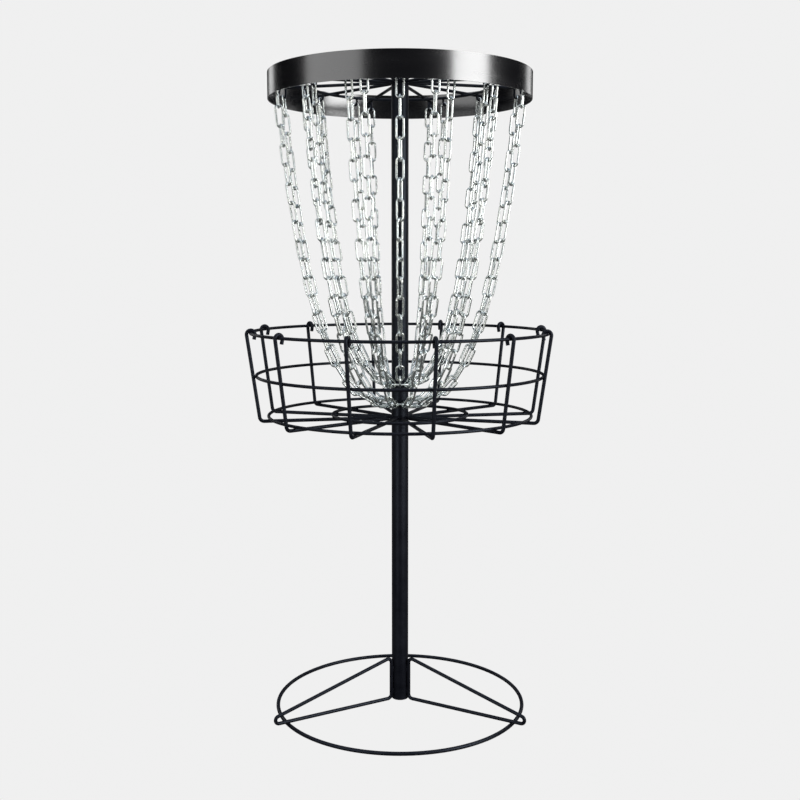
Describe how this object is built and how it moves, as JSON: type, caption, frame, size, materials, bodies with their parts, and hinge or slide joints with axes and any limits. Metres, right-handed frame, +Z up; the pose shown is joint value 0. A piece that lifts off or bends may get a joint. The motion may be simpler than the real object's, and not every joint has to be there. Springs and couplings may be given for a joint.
{
  "type": "disc golf basket",
  "caption": "Free-standing disc golf basket: wire tray and chain band on a pole, hanging catching chains and a ring base on three wire legs.",
  "frame": {"origin": "on the ground at the pole's axis, centre of the base ring's underside", "axes": "+Z up along the pole, -Y to the front, +X to the right seen from the front"},
  "size_m": [0.6352, 0.6352, 1.337],
  "materials": {
    "frame": "black powder coat, satin",
    "band": "black gloss paint",
    "chain": "bright zinc plating",
    "cap": "black moulded plastic",
    "screw": "blackened steel"
  },
  "bodies": {
    "base": {"base_ring": "frame", "base_leg_left": "frame", "base_leg_right": "frame", "base_leg_rear": "frame", "base_socket": "frame"},
    "mast": {"chain_band": "band", "chain_hooks": "frame", "collar_screws": "screw", "floor_ring": "frame", "hanger_ring": "frame", "inner_chain_ring": "chain", "lower_pole": "frame", "lower_ring": "frame", "mid_ring": "frame", "outer_chain_ring": "chain", "pole_cap": "cap", "pole_coupler": "frame", "rim_ring": "frame", "stop_collar": "frame", "support_hub": "frame", "support_spokes": "frame", "tray_hub": "frame", "tray_wire_01": "frame", "tray_wire_02": "frame", "tray_wire_03": "frame", "tray_wire_04": "frame", "tray_wire_05": "frame", "tray_wire_06": "frame", "tray_wire_07": "frame", "tray_wire_08": "frame", "tray_wire_09": "frame", "tray_wire_10": "frame", "tray_wire_11": "frame", "tray_wire_12": "frame", "upper_pole": "frame"},
    "outer_chain_01_strand": {"outer_chain_01": "chain"},
    "outer_chain_02_strand": {"outer_chain_02": "chain"},
    "outer_chain_03_strand": {"outer_chain_03": "chain"},
    "outer_chain_04_strand": {"outer_chain_04": "chain"},
    "outer_chain_05_strand": {"outer_chain_05": "chain"},
    "outer_chain_06_strand": {"outer_chain_06": "chain"},
    "outer_chain_07_strand": {"outer_chain_07": "chain"},
    "outer_chain_08_strand": {"outer_chain_08": "chain"},
    "outer_chain_09_strand": {"outer_chain_09": "chain"},
    "outer_chain_10_strand": {"outer_chain_10": "chain"},
    "outer_chain_11_strand": {"outer_chain_11": "chain"},
    "outer_chain_12_strand": {"outer_chain_12": "chain"},
    "inner_chain_01_strand": {"inner_chain_01": "chain"},
    "inner_chain_02_strand": {"inner_chain_02": "chain"},
    "inner_chain_03_strand": {"inner_chain_03": "chain"},
    "inner_chain_04_strand": {"inner_chain_04": "chain"},
    "inner_chain_05_strand": {"inner_chain_05": "chain"},
    "inner_chain_06_strand": {"inner_chain_06": "chain"},
    "inner_chain_07_strand": {"inner_chain_07": "chain"},
    "inner_chain_08_strand": {"inner_chain_08": "chain"},
    "inner_chain_09_strand": {"inner_chain_09": "chain"},
    "inner_chain_10_strand": {"inner_chain_10": "chain"},
    "inner_chain_11_strand": {"inner_chain_11": "chain"},
    "inner_chain_12_strand": {"inner_chain_12": "chain"}
  },
  "joints": [
    {"name": "mast_lift", "type": "slide", "parent": "base", "child": "mast", "axis": [0, 0, 1], "range_m": [0, 0.155]},
    {"name": "outer_chain_01_sway", "type": "hinge", "parent": "mast", "child": "outer_chain_01_strand", "pos_m": [0.066, -0.24631, 1.3048], "axis": [-0.0869, 0.3242, -0.942], "range_deg": [-12, 12]},
    {"name": "outer_chain_02_sway", "type": "hinge", "parent": "mast", "child": "outer_chain_02_strand", "pos_m": [0.18031, -0.18031, 1.3048], "axis": [-0.2374, 0.2374, -0.942], "range_deg": [-12, 12]},
    {"name": "outer_chain_03_sway", "type": "hinge", "parent": "mast", "child": "outer_chain_03_strand", "pos_m": [0.24631, -0.066, 1.3048], "axis": [-0.3242, 0.0869, -0.942], "range_deg": [-12, 12]},
    {"name": "outer_chain_04_sway", "type": "hinge", "parent": "mast", "child": "outer_chain_04_strand", "pos_m": [0.24631, 0.066, 1.3048], "axis": [-0.3242, -0.0869, -0.942], "range_deg": [-12, 12]},
    {"name": "outer_chain_05_sway", "type": "hinge", "parent": "mast", "child": "outer_chain_05_strand", "pos_m": [0.18031, 0.18031, 1.3048], "axis": [-0.2374, -0.2374, -0.942], "range_deg": [-12, 12]},
    {"name": "outer_chain_06_sway", "type": "hinge", "parent": "mast", "child": "outer_chain_06_strand", "pos_m": [0.066, 0.24631, 1.3048], "axis": [-0.0869, -0.3242, -0.942], "range_deg": [-12, 12]},
    {"name": "outer_chain_07_sway", "type": "hinge", "parent": "mast", "child": "outer_chain_07_strand", "pos_m": [-0.066, 0.24631, 1.3048], "axis": [0.0869, -0.3242, -0.942], "range_deg": [-12, 12]},
    {"name": "outer_chain_08_sway", "type": "hinge", "parent": "mast", "child": "outer_chain_08_strand", "pos_m": [-0.18031, 0.18031, 1.3048], "axis": [0.2374, -0.2374, -0.942], "range_deg": [-12, 12]},
    {"name": "outer_chain_09_sway", "type": "hinge", "parent": "mast", "child": "outer_chain_09_strand", "pos_m": [-0.24631, 0.066, 1.3048], "axis": [0.3242, -0.0869, -0.942], "range_deg": [-12, 12]},
    {"name": "outer_chain_10_sway", "type": "hinge", "parent": "mast", "child": "outer_chain_10_strand", "pos_m": [-0.24631, -0.066, 1.3048], "axis": [0.3242, 0.0869, -0.942], "range_deg": [-12, 12]},
    {"name": "outer_chain_11_sway", "type": "hinge", "parent": "mast", "child": "outer_chain_11_strand", "pos_m": [-0.18031, -0.18031, 1.3048], "axis": [0.2374, 0.2374, -0.942], "range_deg": [-12, 12]},
    {"name": "outer_chain_12_sway", "type": "hinge", "parent": "mast", "child": "outer_chain_12_strand", "pos_m": [-0.066, -0.24631, 1.3048], "axis": [0.0869, 0.3242, -0.942], "range_deg": [-12, 12]},
    {"name": "inner_chain_01_sway", "type": "hinge", "parent": "mast", "child": "inner_chain_01_strand", "pos_m": [0, -0.1955, 1.3048], "axis": [0, 0.2716, -0.9624], "range_deg": [-12, 12]},
    {"name": "inner_chain_02_sway", "type": "hinge", "parent": "mast", "child": "inner_chain_02_strand", "pos_m": [0.09775, -0.16931, 1.3048], "axis": [-0.1358, 0.2352, -0.9624], "range_deg": [-12, 12]},
    {"name": "inner_chain_03_sway", "type": "hinge", "parent": "mast", "child": "inner_chain_03_strand", "pos_m": [0.16931, -0.09775, 1.3048], "axis": [-0.2352, 0.1358, -0.9624], "range_deg": [-12, 12]},
    {"name": "inner_chain_04_sway", "type": "hinge", "parent": "mast", "child": "inner_chain_04_strand", "pos_m": [0.1955, 0, 1.3048], "axis": [-0.2716, 0, -0.9624], "range_deg": [-12, 12]},
    {"name": "inner_chain_05_sway", "type": "hinge", "parent": "mast", "child": "inner_chain_05_strand", "pos_m": [0.16931, 0.09775, 1.3048], "axis": [-0.2352, -0.1358, -0.9624], "range_deg": [-12, 12]},
    {"name": "inner_chain_06_sway", "type": "hinge", "parent": "mast", "child": "inner_chain_06_strand", "pos_m": [0.09775, 0.16931, 1.3048], "axis": [-0.1358, -0.2352, -0.9624], "range_deg": [-12, 12]},
    {"name": "inner_chain_07_sway", "type": "hinge", "parent": "mast", "child": "inner_chain_07_strand", "pos_m": [0, 0.1955, 1.3048], "axis": [0, -0.2716, -0.9624], "range_deg": [-12, 12]},
    {"name": "inner_chain_08_sway", "type": "hinge", "parent": "mast", "child": "inner_chain_08_strand", "pos_m": [-0.09775, 0.16931, 1.3048], "axis": [0.1358, -0.2352, -0.9624], "range_deg": [-12, 12]},
    {"name": "inner_chain_09_sway", "type": "hinge", "parent": "mast", "child": "inner_chain_09_strand", "pos_m": [-0.16931, 0.09775, 1.3048], "axis": [0.2352, -0.1358, -0.9624], "range_deg": [-12, 12]},
    {"name": "inner_chain_10_sway", "type": "hinge", "parent": "mast", "child": "inner_chain_10_strand", "pos_m": [-0.1955, 0, 1.3048], "axis": [0.2716, 0, -0.9624], "range_deg": [-12, 12]},
    {"name": "inner_chain_11_sway", "type": "hinge", "parent": "mast", "child": "inner_chain_11_strand", "pos_m": [-0.16931, -0.09775, 1.3048], "axis": [0.2352, 0.1358, -0.9624], "range_deg": [-12, 12]},
    {"name": "inner_chain_12_sway", "type": "hinge", "parent": "mast", "child": "inner_chain_12_strand", "pos_m": [-0.09775, -0.16931, 1.3048], "axis": [0.1358, 0.2352, -0.9624], "range_deg": [-12, 12]}
  ]
}
